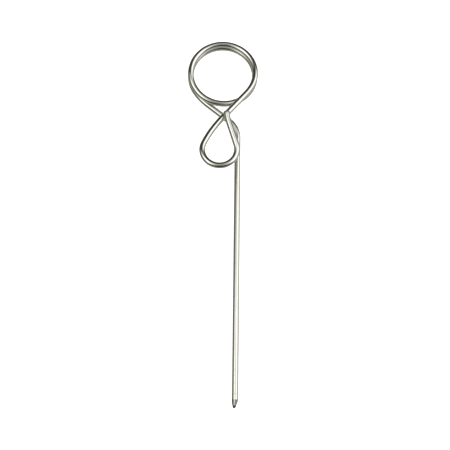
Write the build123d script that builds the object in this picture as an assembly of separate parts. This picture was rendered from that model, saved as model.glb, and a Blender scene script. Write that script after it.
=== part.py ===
from build123d import *
import math
import os

# A finger-ring wire pin: one length of round steel wire, ground to a point at one end, bent at
# the neck, wound into a coiled finger ring, crossed over itself and turned into a teardrop eye.
# It lies on its back: +Y runs from the point to the ring, and +Z is the axis of the coil.
# Each node is a named stretch of the wire. Neighbouring stretches meet face to face.

# Driving dimensions, in millimetres and degrees. Bend radii are to the wire's centreline.
wire_diameter = 2.5
pin_length = 111.7            # from the blunt tip of the point to the start of the neck bend

point_length = 3.1            # ground length of the point
point_relief = 0.12           # how much the grinding thins the wire's radius along the point
point_flats = (17, 75, 107, 121, 160, 215, 270, 325)    # the way each faces, from +X to +Z
point_tip_across = 0.85       # across the flats at the blunt tip
point_lean = 0.3              # how far the tip stands off the wire's axis, towards -X

neck_radius = 9.5
neck_angle = 52.5
back_strand_length = 11.3

ring_radius = 13.5
ring_pitch = 2.8              # climb of the coil in one turn
ring_front_angle = 245.3      # the coil goes on for this much after its first full turn
lead_radius = 24.0            # the wire opens out where it enters and leaves the coil
lead_in_angle = 17.4
lead_out_angle = 9.6

front_strand_length = 15.4
shoulder_radius = 49.0
shoulder_angle = 15.4
eye_radius = 7.05
eye_angle = 222.5
eye_rise = 0.047              # climb of the eye for each millimetre of its length in plan
eye_side_length = 10.4
tail_radius = 20.0
tail_angle = 10.0
cut_end_length = 0.9
cut_end_chamfer = 0.18

wire_radius = wire_diameter / 2
ring_rise = ring_pitch / (2 * math.pi * ring_radius)


def heading(angle, rise):
    """The unit vector at a plan angle from +X that climbs by rise for each millimetre in plan."""
    turn = math.radians(angle)
    return Vector(math.cos(turn), math.sin(turn), rise).normalized()


class Pen:
    """Draws the wire stretch by stretch, and holds the place and direction that it has reached."""

    def __init__(self, place, direction):
        self.place = place
        self.direction = direction

    def section(self):
        """The wire's round section, square to its direction."""
        return Plane(origin=self.place, z_dir=self.direction) * Circle(wire_radius)

    def straight(self, length):
        """A straight stretch."""
        stretch = extrude(self.section(), amount=length, dir=self.direction)
        self.place = self.place + self.direction * length
        return stretch

    def bend(self, direction, radius):
        """A circular bend of this radius that ends in the new direction."""
        axis = self.direction.cross(direction).normalized()
        centre = self.place + axis.cross(self.direction) * radius
        angle = self.direction.get_angle(direction)
        stretch = revolve(self.section(), axis=Axis(centre, axis), revolution_arc=angle)
        self.place = centre + (self.place - centre).rotate(Axis((0, 0, 0), axis), angle)
        self.direction = direction
        return stretch

    def coil_centre(self, radius, clockwise):
        """A point on the upright axis that a coil of this radius would turn about."""
        flat = Vector(self.direction.X, self.direction.Y, 0).normalized()
        side = -1 if clockwise else 1
        return self.place + Vector(-flat.Y, flat.X, 0) * radius * side

    def coil(self, radius, angle, rise, clockwise):
        """A stretch of helix about an upright axis, turning through this plan angle."""
        pitch = 2 * math.pi * radius * rise
        centre = self.coil_centre(radius, clockwise)
        foot = Plane(origin=centre, x_dir=self.place - centre, z_dir=(0, 0, 1))
        path = foot * Helix(pitch, pitch * angle / 360, radius, lefthand=clockwise)
        stretch = sweep(self.section(), path=path, is_frenet=True)
        self.place = path @ 1
        self.direction = path % 1
        return stretch


def outline_of_flats(reach):
    """The outline across the point. Its flats all stand at this reach from the middle."""
    corners = []
    for first, second in zip(point_flats, point_flats[1:] + (point_flats[0] + 360,)):
        middle = math.radians(first + second) / 2
        distance = reach / math.cos(math.radians(second - first) / 2)
        corners.append((distance * math.cos(middle), distance * math.sin(middle)))
    return Polygon(*corners, align=None)


def ground_point():
    """The point, relieved from the round wire and ground on flats that lean in to a blunt tip."""
    shoulder = Plane.XZ.offset(pin_length - point_length)
    tip = Plane.XZ.offset(pin_length) * Pos(-point_lean, 0)
    base = (Align.CENTER, Align.CENTER, Align.MIN)
    blank = shoulder * Cone(wire_radius, wire_radius - point_relief, point_length, align=base)
    wide = shoulder * outline_of_flats(wire_radius)
    narrow = tip * outline_of_flats(point_tip_across / 2)
    return blank & loft([wide, narrow], ruled=True)


nodes = {"ground_point": ground_point()}

pen = Pen(Vector(0, point_length - pin_length, 0), Vector(0, 1, 0))
nodes["shaft"] = pen.straight(pin_length - point_length)

strand_angle = 90 + neck_angle
nodes["neck_bend"] = pen.bend(heading(strand_angle, ring_rise), neck_radius)
nodes["back_strand"] = pen.straight(back_strand_length)

# The finger ring is a left-handed coil: it turns clockwise, seen from +Z, as it climbs.
nodes["ring_lead_in"] = pen.coil(lead_radius, lead_in_angle, ring_rise, clockwise=True)
ring_centre = pen.coil_centre(ring_radius, clockwise=True)
nodes["ring_rear_upper"] = pen.coil(ring_radius, 180, ring_rise, clockwise=True)
nodes["ring_rear_lower"] = pen.coil(ring_radius, 180, ring_rise, clockwise=True)
nodes["ring_front_turn"] = pen.coil(ring_radius, ring_front_angle, ring_rise, clockwise=True)
nodes["ring_lead_out"] = pen.coil(lead_radius, lead_out_angle, ring_rise, clockwise=True)

# The front strand crosses over the back strand and runs into the eye, which turns the other way.
nodes["front_strand"] = pen.straight(front_strand_length)
front_angle = strand_angle - lead_in_angle - 360 - ring_front_angle - lead_out_angle
nodes["eye_shoulder"] = pen.bend(heading(front_angle + shoulder_angle, eye_rise), shoulder_radius)
nodes["eye_bend"] = pen.coil(eye_radius, eye_angle, eye_rise, clockwise=False)

# The wire ends on top of the front strand, cut square with its edge eased.
nodes["eye_side"] = pen.straight(eye_side_length)
nodes["eye_tail"] = pen.coil(tail_radius, tail_angle, eye_rise, clockwise=True)
cut_end = pen.straight(cut_end_length)
end_edge = cut_end.edges().filter_by(GeomType.CIRCLE).sort_by_distance(pen.place)[0]
nodes["cut_end"] = chamfer(end_edge, cut_end_chamfer)

# The origin goes to the middle of the bottom of the whole pin, under the ring's centre in X.
ring_top = ring_centre.Y + ring_radius + wire_radius
origin = Vector(ring_centre.X, (ring_top - pin_length) / 2, -wire_radius)

os.makedirs("parts", exist_ok=True)
for name, node in nodes.items():
    placed = node.solid().moved(Location(-origin))
    export_step(placed, f"parts/{name}.step")
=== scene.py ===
import math

import bpy
import numpy as np
from mathutils import Matrix, Vector


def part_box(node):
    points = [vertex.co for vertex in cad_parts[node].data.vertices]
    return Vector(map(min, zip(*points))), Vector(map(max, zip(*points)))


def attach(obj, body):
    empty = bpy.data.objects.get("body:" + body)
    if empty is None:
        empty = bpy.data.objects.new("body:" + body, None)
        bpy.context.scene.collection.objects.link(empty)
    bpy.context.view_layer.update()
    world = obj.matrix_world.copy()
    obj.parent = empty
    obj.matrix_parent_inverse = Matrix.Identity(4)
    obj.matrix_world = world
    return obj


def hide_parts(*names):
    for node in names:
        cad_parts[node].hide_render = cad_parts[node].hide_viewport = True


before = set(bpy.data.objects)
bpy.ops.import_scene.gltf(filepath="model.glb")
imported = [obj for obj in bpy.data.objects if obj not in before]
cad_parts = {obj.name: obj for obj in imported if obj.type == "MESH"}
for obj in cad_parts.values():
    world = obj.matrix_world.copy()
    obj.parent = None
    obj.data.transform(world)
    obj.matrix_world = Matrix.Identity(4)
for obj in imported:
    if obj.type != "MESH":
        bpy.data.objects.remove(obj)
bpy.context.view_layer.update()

# ---------------------------------------------------------------------------------------------
# Driving dimensions of the wire, in millimetres and degrees. Bend radii are to its centreline.

wire_diameter = 2.5
shaft_length = 108.6          # from the shoulder of the ground point to the neck bend

point_length = 3.1            # ground length of the point
point_relief = 0.12           # how much the grinding thins the wire's radius along the point
point_flats = (17, 75, 107, 121, 160, 215, 270, 325)    # the way each faces, from +X to +Z
flat_painted_shades = (1.0, 0.08, 0.52, 0.05, 0.0, 0.4, 0.4, 0.4)    # painted light and shade: how bright each flat is painted, for the reflection it shows
point_tip_across = 0.85       # across the flats at the blunt tip
point_tip_round = 0.05        # rounding of the blunt tip's edge
point_tip_tone = 0.0          # how bright the blunt tip's own face is painted
hidden_tone = 1.0             # and the face at the shoulder, which the shaft hides
point_lean = 0.3              # how far the tip stands off the wire's axis, towards -X
darkening_from = 1.7              # the colour darkens towards the tip: from this far past the shoulder, and fully from here
darkening_to = 2.7                # and fully from here

neck_radius = 9.5
neck_angle = 52.5
back_strand_length = 11.3

ring_radius = 13.5
ring_pitch = 2.8
ring_front_angle = 245.3
lead_radius = 24.0
lead_in_angle = 17.4
lead_out_angle = 9.6

front_strand_length = 15.4
shoulder_radius = 49.0
shoulder_angle = 15.4
eye_radius = 7.05
eye_angle = 222.5
eye_rise = 0.047
eye_side_length = 10.4
tail_radius = 20.0
tail_angle = 10.0
cut_end_length = 0.9
cut_end_round = 0.2           # rounding of the free end's edge

wire_radius = wire_diameter / 2
ring_rise = ring_pitch / (2 * math.pi * ring_radius)

# Mesh density.
ring_corners = 48             # corners round the wire
bend_step = 0.4               # between rings of corners on a bend, in millimetres
straight_step = 1.5           # and on a straight stretch
point_corners = 96            # corners round the ground point, besides those of its flats
point_rows = 24               # rings of corners along it, besides those of its tip's rounding
round_steps = 8               # steps in the rounding of each end's edge
sharp_angle = 12.5            # edges that turn more than this are sharp

MM = 0.001
UP = np.array([0.0, 0.0, 1.0])


# ---------------------------------------------------------------------------------------------
# The wire's centreline, drawn stretch by stretch from the start of the shaft.

def unit(vector):
    return vector / np.linalg.norm(vector)


def heading(angle, rise):
    """The unit vector at a plan angle from +X that climbs by rise for each millimetre in plan."""
    turn = math.radians(angle)
    return unit(np.array([math.cos(turn), math.sin(turn), rise]))


def turned(vector, axis, angle):
    """A vector turned about a unit axis through an angle in radians."""
    along = axis * (axis @ vector)
    return along + (vector - along) * math.cos(angle) + np.cross(axis, vector) * math.sin(angle)


class Pen:
    """Draws the centreline. A station is a place, a direction and a length along the wire."""

    def __init__(self, place, direction):
        self.place = place
        self.direction = direction
        self.drawn = 0.0

    def finish_stretch(self, stations):
        self.place, self.direction, self.drawn = stations[-1]
        return stations

    def straight(self, length):
        count = max(1, round(length / straight_step))
        return self.finish_stretch([
            (self.place + self.direction * length * i / count,
             self.direction,
             self.drawn + length * i / count)
            for i in range(count + 1)
        ])

    def bend(self, direction, radius):
        axis = unit(np.cross(self.direction, direction))
        centre = self.place + np.cross(axis, self.direction) * radius
        angle = math.acos(self.direction @ direction)
        count = max(2, round(radius * angle / bend_step))
        return self.finish_stretch([
            (centre + turned(self.place - centre, axis, angle * i / count),
             turned(self.direction, axis, angle * i / count),
             self.drawn + radius * angle * i / count)
            for i in range(count + 1)
        ])

    def coil(self, radius, degrees, rise, clockwise):
        side = -1 if clockwise else 1
        angle = math.radians(degrees)
        flat = unit(self.direction * np.array([1, 1, 0]))
        centre = self.place + np.cross(UP, flat) * radius * side
        grade = math.hypot(1, rise)
        count = max(2, round(radius * angle / bend_step))
        stations = []
        for i in range(count + 1):
            part = angle * i / count
            lift = UP * radius * part * rise
            stations.append((
                centre + turned(self.place - centre, UP, part * side) + lift,
                unit(turned(flat, UP, part * side) + UP * rise),
                self.drawn + radius * part * grade,
            ))
        return self.finish_stretch(stations)


shaft_low, shaft_high = (np.array(corner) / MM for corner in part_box("shaft"))
shaft_start = np.array([
    (shaft_low[0] + shaft_high[0]) / 2, shaft_low[1], (shaft_low[2] + shaft_high[2]) / 2
])
pen = Pen(shaft_start, np.array([0.0, 1.0, 0.0]))

stretches = {}
stretches["shaft"] = pen.straight(shaft_length)
strand_angle = 90 + neck_angle
stretches["neck_bend"] = pen.bend(heading(strand_angle, ring_rise), neck_radius)
stretches["back_strand"] = pen.straight(back_strand_length)
stretches["ring_lead_in"] = pen.coil(lead_radius, lead_in_angle, ring_rise, True)
stretches["ring_rear_upper"] = pen.coil(ring_radius, 180, ring_rise, True)
stretches["ring_rear_lower"] = pen.coil(ring_radius, 180, ring_rise, True)
stretches["ring_front_turn"] = pen.coil(ring_radius, ring_front_angle, ring_rise, True)
stretches["ring_lead_out"] = pen.coil(lead_radius, lead_out_angle, ring_rise, True)
stretches["front_strand"] = pen.straight(front_strand_length)
front_angle = strand_angle - lead_in_angle - 360 - ring_front_angle - lead_out_angle
eye_entry = heading(front_angle + shoulder_angle, eye_rise)
stretches["eye_shoulder"] = pen.bend(eye_entry, shoulder_radius)
stretches["eye_bend"] = pen.coil(eye_radius, eye_angle, eye_rise, False)
stretches["eye_side"] = pen.straight(eye_side_length)
stretches["eye_tail"] = pen.coil(tail_radius, tail_angle, eye_rise, True)


# ---------------------------------------------------------------------------------------------
# Meshes. Every vertex also keeps its place on the wire as if the wire were pulled straight:
# x and y across the wire and z along it, in millimetres. The materials read it as "wire".

corner_angles = [2 * math.pi * i / ring_corners for i in range(ring_corners)]


def ring_at(station, radii, angles=corner_angles):
    """A ring of corners round the centreline, and their places on the straightened wire."""
    place, direction, along = station
    side = unit(np.cross(direction, UP))
    top = np.cross(side, direction)
    spots, straightened = [], []
    for angle, radius in zip(angles, radii):
        x, y = radius * math.cos(angle), radius * math.sin(angle)
        spots.append(place + side * x + top * y)
        straightened.append((x, y, along))
    return spots, straightened


def build_piece(name, rings, material):
    """A closed skin through rings of corners. Its two ends are flat and meet the sides sharply."""
    corners = len(rings[0][0])
    spots, straightened = [], []
    for ring_spots, ring_straightened in rings:
        spots += ring_spots
        straightened += ring_straightened
    faces = []
    for i in range(len(rings) - 1):
        for j in range(corners):
            k = (j + 1) % corners
            a, b = i * corners, (i + 1) * corners
            faces.append((a + j, b + j, b + k, a + k))
    last = (len(rings) - 1) * corners
    faces.append(tuple(range(corners)))
    faces.append(tuple(reversed(range(last, last + corners))))

    mesh = bpy.data.meshes.new(name)
    mesh.from_pydata([Vector(spot * MM) for spot in spots], [], faces)
    mesh.polygons.foreach_set("use_smooth", [True] * len(faces))
    mesh.set_sharp_from_angle(angle=math.radians(sharp_angle))
    attribute = mesh.attributes.new("wire", "FLOAT_VECTOR", "POINT")
    attribute.data.foreach_set("vector", np.array(straightened, np.float32).ravel())
    mesh.materials.append(material)
    mesh.update()

    piece = bpy.data.objects.new("wire_" + name, mesh)
    bpy.context.scene.collection.objects.link(piece)
    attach(piece, "root")
    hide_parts(name)
    return piece


# ---------------------------------------------------------------------------------------------
# Materials. Their patterns live on the straightened wire, so they run round every bend unbroken.
# A noise's three scales are per millimetre: two across the wire and one along it.

class Tree:
    """Adds nodes to a node tree and links them."""

    def __init__(self, tree):
        self.tree = tree

    def put(self, socket, value):
        if isinstance(value, bpy.types.NodeSocket):
            self.tree.links.new(value, socket)
        else:
            socket.default_value = value

    def math(self, operation, *values):
        node = self.tree.nodes.new("ShaderNodeMath")
        node.operation = operation
        for socket, value in zip(node.inputs, values):
            self.put(socket, value)
        return node.outputs[0]

    def ease(self, value, low, high, out_low=0.0, out_high=1.0):
        """The value carried smoothly from out_low at low to out_high at high."""
        node = self.tree.nodes.new("ShaderNodeMapRange")
        node.interpolation_type = "SMOOTHSTEP"
        for name, number in (("Value", value), ("From Min", low), ("From Max", high),
                             ("To Min", out_low), ("To Max", out_high)):
            self.put(node.inputs[name], number)
        return node.outputs["Result"]

    def scaled(self, vector, factors):
        node = self.tree.nodes.new("ShaderNodeVectorMath")
        node.operation = "MULTIPLY"
        self.put(node.inputs[0], vector)
        self.put(node.inputs[1], factors)
        return node.outputs["Vector"]

    def noise(self, vector, factors, detail=2.0, roughness=0.5):
        """Smooth noise, about 0.5 on average, with its own scale along each axis."""
        node = self.tree.nodes.new("ShaderNodeTexNoise")
        self.put(node.inputs["Vector"], self.scaled(vector, factors))
        self.put(node.inputs["Scale"], 1.0)
        self.put(node.inputs["Detail"], detail)
        self.put(node.inputs["Roughness"], roughness)
        return node.outputs["Fac"]

    def blend(self, factor, colour_a, colour_b):
        node = self.tree.nodes.new("ShaderNodeMix")
        node.data_type = "RGBA"
        self.put(node.inputs["Factor"], factor)
        self.put(node.inputs["A"], colour_a)
        self.put(node.inputs["B"], colour_b)
        return node.outputs["Result"]

    def relief(self, height, depth, strength=1.0, under=None):
        """A bump of this depth in metres, laid over another bump."""
        node = self.tree.nodes.new("ShaderNodeBump")
        self.put(node.inputs["Height"], height)
        self.put(node.inputs["Distance"], depth)
        self.put(node.inputs["Strength"], strength)
        if under is not None:
            self.put(node.inputs["Normal"], under)
        return node.outputs["Normal"]


def new_steel(name):
    """A metal material, its shader, its tree and the place on the straightened wire."""
    material = bpy.data.materials.new(name)
    material.use_nodes = True
    shader = material.node_tree.nodes["Principled BSDF"]
    shader.inputs["Metallic"].default_value = 1.0
    tree = Tree(material.node_tree)
    wire = material.node_tree.nodes.new("ShaderNodeAttribute")
    wire.attribute_name = "wire"
    return material, shader, tree, wire.outputs["Vector"]


def make_drawn_steel():
    """Bright drawn wire: fine lines along it, faint waves from straightening, and light rubs."""
    material, shader, tree, wire = new_steel("drawn_steel")
    draw_lines = tree.noise(wire, (9.0, 9.0, 0.05), detail=3.0, roughness=0.6)
    fine_lines = tree.noise(wire, (34.0, 34.0, 0.35), detail=1.0)
    waves = tree.noise(wire, (0.35, 0.35, 0.16), detail=1.0)
    rubs = tree.noise(wire, (1.3, 1.3, 0.45), detail=4.0, roughness=0.65)
    rubbed = tree.ease(rubs, 0.56, 0.74)
    clean = (0.66, 0.655, 0.625, 1)
    dull = (0.57, 0.56, 0.52, 1)
    colour = tree.blend(tree.ease(waves, 0.35, 0.75), clean, (0.63, 0.625, 0.585, 1))
    tree.put(shader.inputs["Base Color"], tree.blend(rubbed, colour, dull))
    lined = tree.ease(draw_lines, 0.3, 0.75, 0.07, 0.14)
    tree.put(shader.inputs["Roughness"], tree.math("MULTIPLY_ADD", rubbed, 0.1, lined))
    low = tree.relief(waves, 0.00002, 0.5)
    lines = tree.relief(draw_lines, 0.000003, 0.5, low)
    tree.put(shader.inputs["Normal"], tree.relief(fine_lines, 0.0000015, 0.5, lines))
    return material


def make_ground_steel():
    """The ground point: scratches across the flats, each flat painted with its own light and shade
    for the reflection it shows, and a dark tip.
    """
    material, shader, tree, wire = new_steel("ground_steel")
    scratches = tree.noise(wire, (1.5, 1.5, 22.0), detail=3.0, roughness=0.7)
    coarse = tree.noise(wire, (0.5, 0.5, 7.0), detail=2.0)
    # Painted light and shade: each flat's colour, from its tone value, stands in for how bright
    # its reflection looks.
    attribute = material.node_tree.nodes.new("ShaderNodeAttribute")
    attribute.attribute_name = "painted_shade"
    flat = tree.blend(attribute.outputs["Fac"], (0.08, 0.08, 0.078, 1), (0.88, 0.88, 0.86, 1))
    scored = tree.blend(tree.ease(scratches, 0.4, 0.8), flat, (0.26, 0.26, 0.25, 1))
    split = material.node_tree.nodes.new("ShaderNodeSeparateXYZ")
    tree.put(split.inputs[0], wire)
    # The colour darkens to near black towards the tip.
    tip_darkening = tree.ease(split.outputs["Z"], -darkening_from, -darkening_to)
    tree.put(shader.inputs["Base Color"], tree.blend(tip_darkening, scored, (0.03, 0.03, 0.03, 1)))
    tree.put(shader.inputs["Roughness"], tree.ease(scratches, 0.3, 0.75, 0.2, 0.34))
    rough = tree.relief(coarse, 0.00002, 0.4)
    tree.put(shader.inputs["Normal"], tree.relief(scratches, 0.000005, 0.6, rough))
    return material


def make_sheared_steel_painted_shade():
    """The sheared end: drawn wire on its side, with a duller torn face. Its colour, sides and face
    alike, is painted far darker than the drawn wire: painted shade.
    """
    material, shader, tree, wire = new_steel("sheared_steel_painted_shade")
    draw_lines = tree.noise(wire, (9.0, 9.0, 0.05), detail=3.0, roughness=0.6)
    tears = tree.noise(wire, (7.0, 2.0, 4.0), detail=4.0, roughness=0.7)
    # Painted shade: the whole free end is coloured dark, with random darker patches from the
    # tears.
    tree.put(
        shader.inputs["Base Color"],
        tree.blend(tree.ease(tears, 0.4, 0.7), (0.36, 0.36, 0.35, 1), (0.26, 0.26, 0.25, 1)),
    )
    tree.put(shader.inputs["Roughness"], tree.ease(tears, 0.35, 0.75, 0.24, 0.42))
    lines = tree.relief(draw_lines, 0.000004, 0.6)
    tree.put(shader.inputs["Normal"], tree.relief(tears, 0.000012, 0.6, lines))
    return material


drawn_steel = make_drawn_steel()
ground_steel = make_ground_steel()
sheared_steel_painted_shade = make_sheared_steel_painted_shade()


# ---------------------------------------------------------------------------------------------
# Pieces

def rounding():
    """The rounding of an end's edge, as shares of its radius: along the wire, and inwards."""
    turns = [math.pi / 2 * i / round_steps for i in range(round_steps + 1)]
    return [(math.sin(turn), 1 - math.cos(turn)) for turn in turns]


def build_stretches():
    """The round wire, one piece for each stretch."""
    full_ring = [wire_radius] * ring_corners
    for name, stations in stretches.items():
        rings = [ring_at(station, full_ring) for station in stations]
        build_piece(name, rings, drawn_steel)


def build_cut_end():
    """The free end: full wire up to a rounded edge and a flat face."""
    profile = [(0.0, wire_radius)]
    for along, inwards in rounding():
        profile.append((
            cut_end_length - cut_end_round + cut_end_round * along,
            wire_radius - cut_end_round * inwards,
        ))
    rings = []
    for x, radius in profile:
        station = (pen.place + pen.direction * x, pen.direction, pen.drawn + x)
        rings.append(ring_at(station, [radius] * ring_corners))
    build_piece("cut_end", rings, sheared_steel_painted_shade)


flat_angles = [math.radians(flat) for flat in point_flats]


def nearest_flat(angle):
    """The number of the flat that meets a line drawn from the axis at this angle."""
    return max(range(len(flat_angles)), key=lambda i: math.cos(angle - flat_angles[i]))


def point_radius(angle, t, inset):
    """How far the point's skin stands from the leaning axis, at a share t from shoulder to tip."""
    across = wire_radius + (point_tip_across / 2 - wire_radius) * t - inset
    flat_reach = across / math.cos(angle - flat_angles[nearest_flat(angle)])
    lean = -point_lean * t
    blank = wire_radius - point_relief * t - inset
    toward = lean * math.cos(angle)
    blank_reach = -toward + math.sqrt(toward ** 2 - lean ** 2 + blank ** 2)
    return min(flat_reach, blank_reach)


def build_ground_point():
    """The point, from its tip to the shoulder. Each flat is painted its own light and shade, for
    the reflection it shows.
    """
    flat_corners = [
        math.radians(first + second) / 2
        for first, second in zip(point_flats, point_flats[1:] + (point_flats[0] + 360,))
    ]
    angles = sorted(
        [angle % (2 * math.pi) for angle in flat_corners]
        + [2 * math.pi * i / point_corners for i in range(point_corners)]
    )

    straight_end = point_length - point_tip_round
    profile = [
        (straight_end + point_tip_round * along, point_tip_round * inwards)
        for along, inwards in reversed(rounding())
    ]
    profile += [(straight_end * (1 - i / point_rows), 0.0) for i in range(1, point_rows + 1)]
    rings = []
    for x, inset in profile:
        t = x / point_length
        place = shaft_start - np.array([point_lean * t, x, 0.0])
        radii = [point_radius(angle, t, inset) for angle in angles]
        rings.append(ring_at((place, np.array([0.0, 1.0, 0.0]), -x), radii, angles))
    point = build_piece("ground_point", rings, ground_steel)

    middles = [(low + high) / 2 for low, high in zip(angles, angles[1:] + [2 * math.pi])]
    # Painted light and shade: every face takes the brightness painted on its flat.
    painted_shades = [flat_painted_shades[nearest_flat(angle)] for angle in middles] * (len(rings) - 1)
    painted_shades += [point_tip_tone, hidden_tone]
    point.data.attributes.new("painted_shade", "FLOAT", "FACE").data.foreach_set("value", painted_shades)


build_stretches()
build_cut_end()
build_ground_point()


# ---------------------------------------------------------------------------------------------
# Floor, light and camera

floor_size = 6.0              # in metres
floor_drop = 0.0002           # below the pin, in metres, so that the two never share a surface


def make_floor():
    """A plain pale sheet that glows evenly. The steel reflects the light panels in its place."""
    pale = bpy.data.materials.new("pale_floor")
    pale.use_nodes = True
    shader = pale.node_tree.nodes["Principled BSDF"]
    shader.inputs["Base Color"].default_value = (0.9, 0.9, 0.9, 1)
    shader.inputs["Roughness"].default_value = 0.9
    shader.inputs["Emission Color"].default_value = (1, 1, 1, 1)
    shader.inputs["Emission Strength"].default_value = 1.0
    half = floor_size / 2
    corners = [(-half, -half), (half, -half), (half, half), (-half, half)]
    mesh = bpy.data.meshes.new("floor")
    mesh.from_pydata([(x, y, -floor_drop) for x, y in corners], [], [(0, 1, 2, 3)])
    mesh.materials.append(pale)
    floor = bpy.data.objects.new("floor", mesh)
    floor.visible_glossy = False
    bpy.context.scene.collection.objects.link(floor)


make_floor()


# The studio round the pin is a soft light tent, told apart by direction: lengthwise is the angle
# from the XZ plane towards +Y, and sideways is the angle from +Z towards +X, both in degrees.
# A panel shines between two edges each way. An edge is its angle and the width over which the
# light fades there, and None stands for no edge. A slanting panel's sideways edges shift by its
# slant for each degree lengthwise.
panels = {
    "left_panel": {
        "sideways": ((-51, 31), (-16, 24)), "slant": 0.1,
        "lengthwise": ((-32, 30), (14, 16)), "colour": (1.58, 1.59, 1.53),
    },
    "right_panel": {
        "sideways": ((15, 27), (79, 71)), "slant": 0.0,
        "lengthwise": ((-27, 18), (33, 12)), "colour": (1.4, 1.41, 1.39),
    },
    "open_middle": {
        "sideways": ((-70, 60), (70, 60)), "slant": 0.0,
        "lengthwise": ((-35, 12), (23, 2)), "colour": (0.31, 0.31, 0.28),
    },
    "lit_gap": {
        "sideways": ((-28, 14), (17, 14)), "slant": 0.0,
        "lengthwise": ((9, 9), (22, 3)), "colour": (0.56, 0.58, 0.56),
    },
    "low_right": {
        "sideways": ((98, 8), None), "slant": 0.0,
        "lengthwise": ((-75, 30), (75, 30)), "colour": (0.43, 0.42, 0.4),
    },
    "low_left": {
        "sideways": (None, (-111, 51)), "slant": 0.0,
        "lengthwise": ((-75, 30), (75, 30)), "colour": (0.47, 0.47, 0.4),
    },
}
all_round = (0.06, 0.06, 0.055)    # the faint light that comes from every side
camera_white = (1.0, 1.0, 1.0, 1)  # the studio as the camera sees it past the floor


def seen_between(tree, value, edges):
    """One where the value lies between a panel's two edges, fading to zero beyond them."""
    share = 1.0
    for edge, side in zip(edges, (1, -1)):
        if edge is not None:
            at, softness = edge
            half = softness / 2 * side
            share = tree.math("MULTIPLY", share, tree.ease(value, at - half, at + half))
    return share


def make_studio():
    """The world's light, summed over the panels."""
    world = bpy.data.worlds.new("studio")
    bpy.context.scene.world = world
    world.use_nodes = True
    sky = Tree(world.node_tree)
    nodes = world.node_tree.nodes
    split = nodes.new("ShaderNodeSeparateXYZ")
    sky.put(split.inputs[0], nodes.new("ShaderNodeTexCoord").outputs["Generated"])
    sideways = sky.math("DEGREES", sky.math("ARCTAN2", split.outputs["X"], split.outputs["Z"]))
    lengthwise = sky.math("DEGREES", sky.math("ARCSINE", split.outputs["Y"]))

    glow = all_round
    for panel in panels.values():
        across = sky.math("MULTIPLY_ADD", lengthwise, -panel["slant"], sideways)
        share = sky.math(
            "MULTIPLY",
            seen_between(sky, across, panel["sideways"]),
            seen_between(sky, lengthwise, panel["lengthwise"]),
        )
        lamp = nodes.new("ShaderNodeVectorMath")
        lamp.operation = "MULTIPLY_ADD"
        for socket, value in zip(lamp.inputs, (share, panel["colour"], glow)):
            sky.put(socket, value)
        glow = lamp.outputs[0]
    seen_directly = nodes.new("ShaderNodeLightPath").outputs["Is Camera Ray"]
    sky.put(nodes["Background"].inputs["Color"], sky.blend(seen_directly, glow, camera_white))


make_studio()


# The camera looks down at the pin as it lies, leaning from upright towards the point.
camera_lean = 19.0            # from upright, in degrees
camera_swing = -7.36          # of that lean about the upright, from -Y
camera_roll = 8.58
camera_distance = 400.0       # in millimetres, like the aim
camera_aim = shaft_start + np.array([-4.73, 70.17, 0.0])
camera_focal = 79.36          # in millimetres, like the sensor's width
camera_sensor = 36.0
camera_nearest = 0.01         # what it can see starts and ends here, in metres
camera_farthest = 20.0


def make_camera():
    lean, swing, roll = (math.radians(a) for a in (camera_lean, camera_swing, camera_roll))
    back = np.array([
        math.sin(lean) * math.sin(swing), -math.sin(lean) * math.cos(swing), math.cos(lean)
    ])
    level = np.array([math.cos(swing), math.sin(swing), 0.0])
    upright = np.cross(back, level)
    right = level * math.cos(roll) + upright * math.sin(roll)
    above = upright * math.cos(roll) - level * math.sin(roll)
    spot = (camera_aim + back * camera_distance) * MM

    lens = bpy.data.cameras.new("camera")
    lens.lens = camera_focal
    lens.sensor_width = camera_sensor
    lens.clip_start = camera_nearest
    lens.clip_end = camera_farthest
    camera = bpy.data.objects.new("camera", lens)
    rows = [(right[i], above[i], back[i], spot[i]) for i in range(3)]
    camera.matrix_world = Matrix(rows + [(0, 0, 0, 1)])
    bpy.context.scene.collection.objects.link(camera)
    return camera


bpy.context.scene.camera = make_camera()
bpy.context.scene.view_settings.view_transform = "Standard"

bpy.context.view_layer.update()
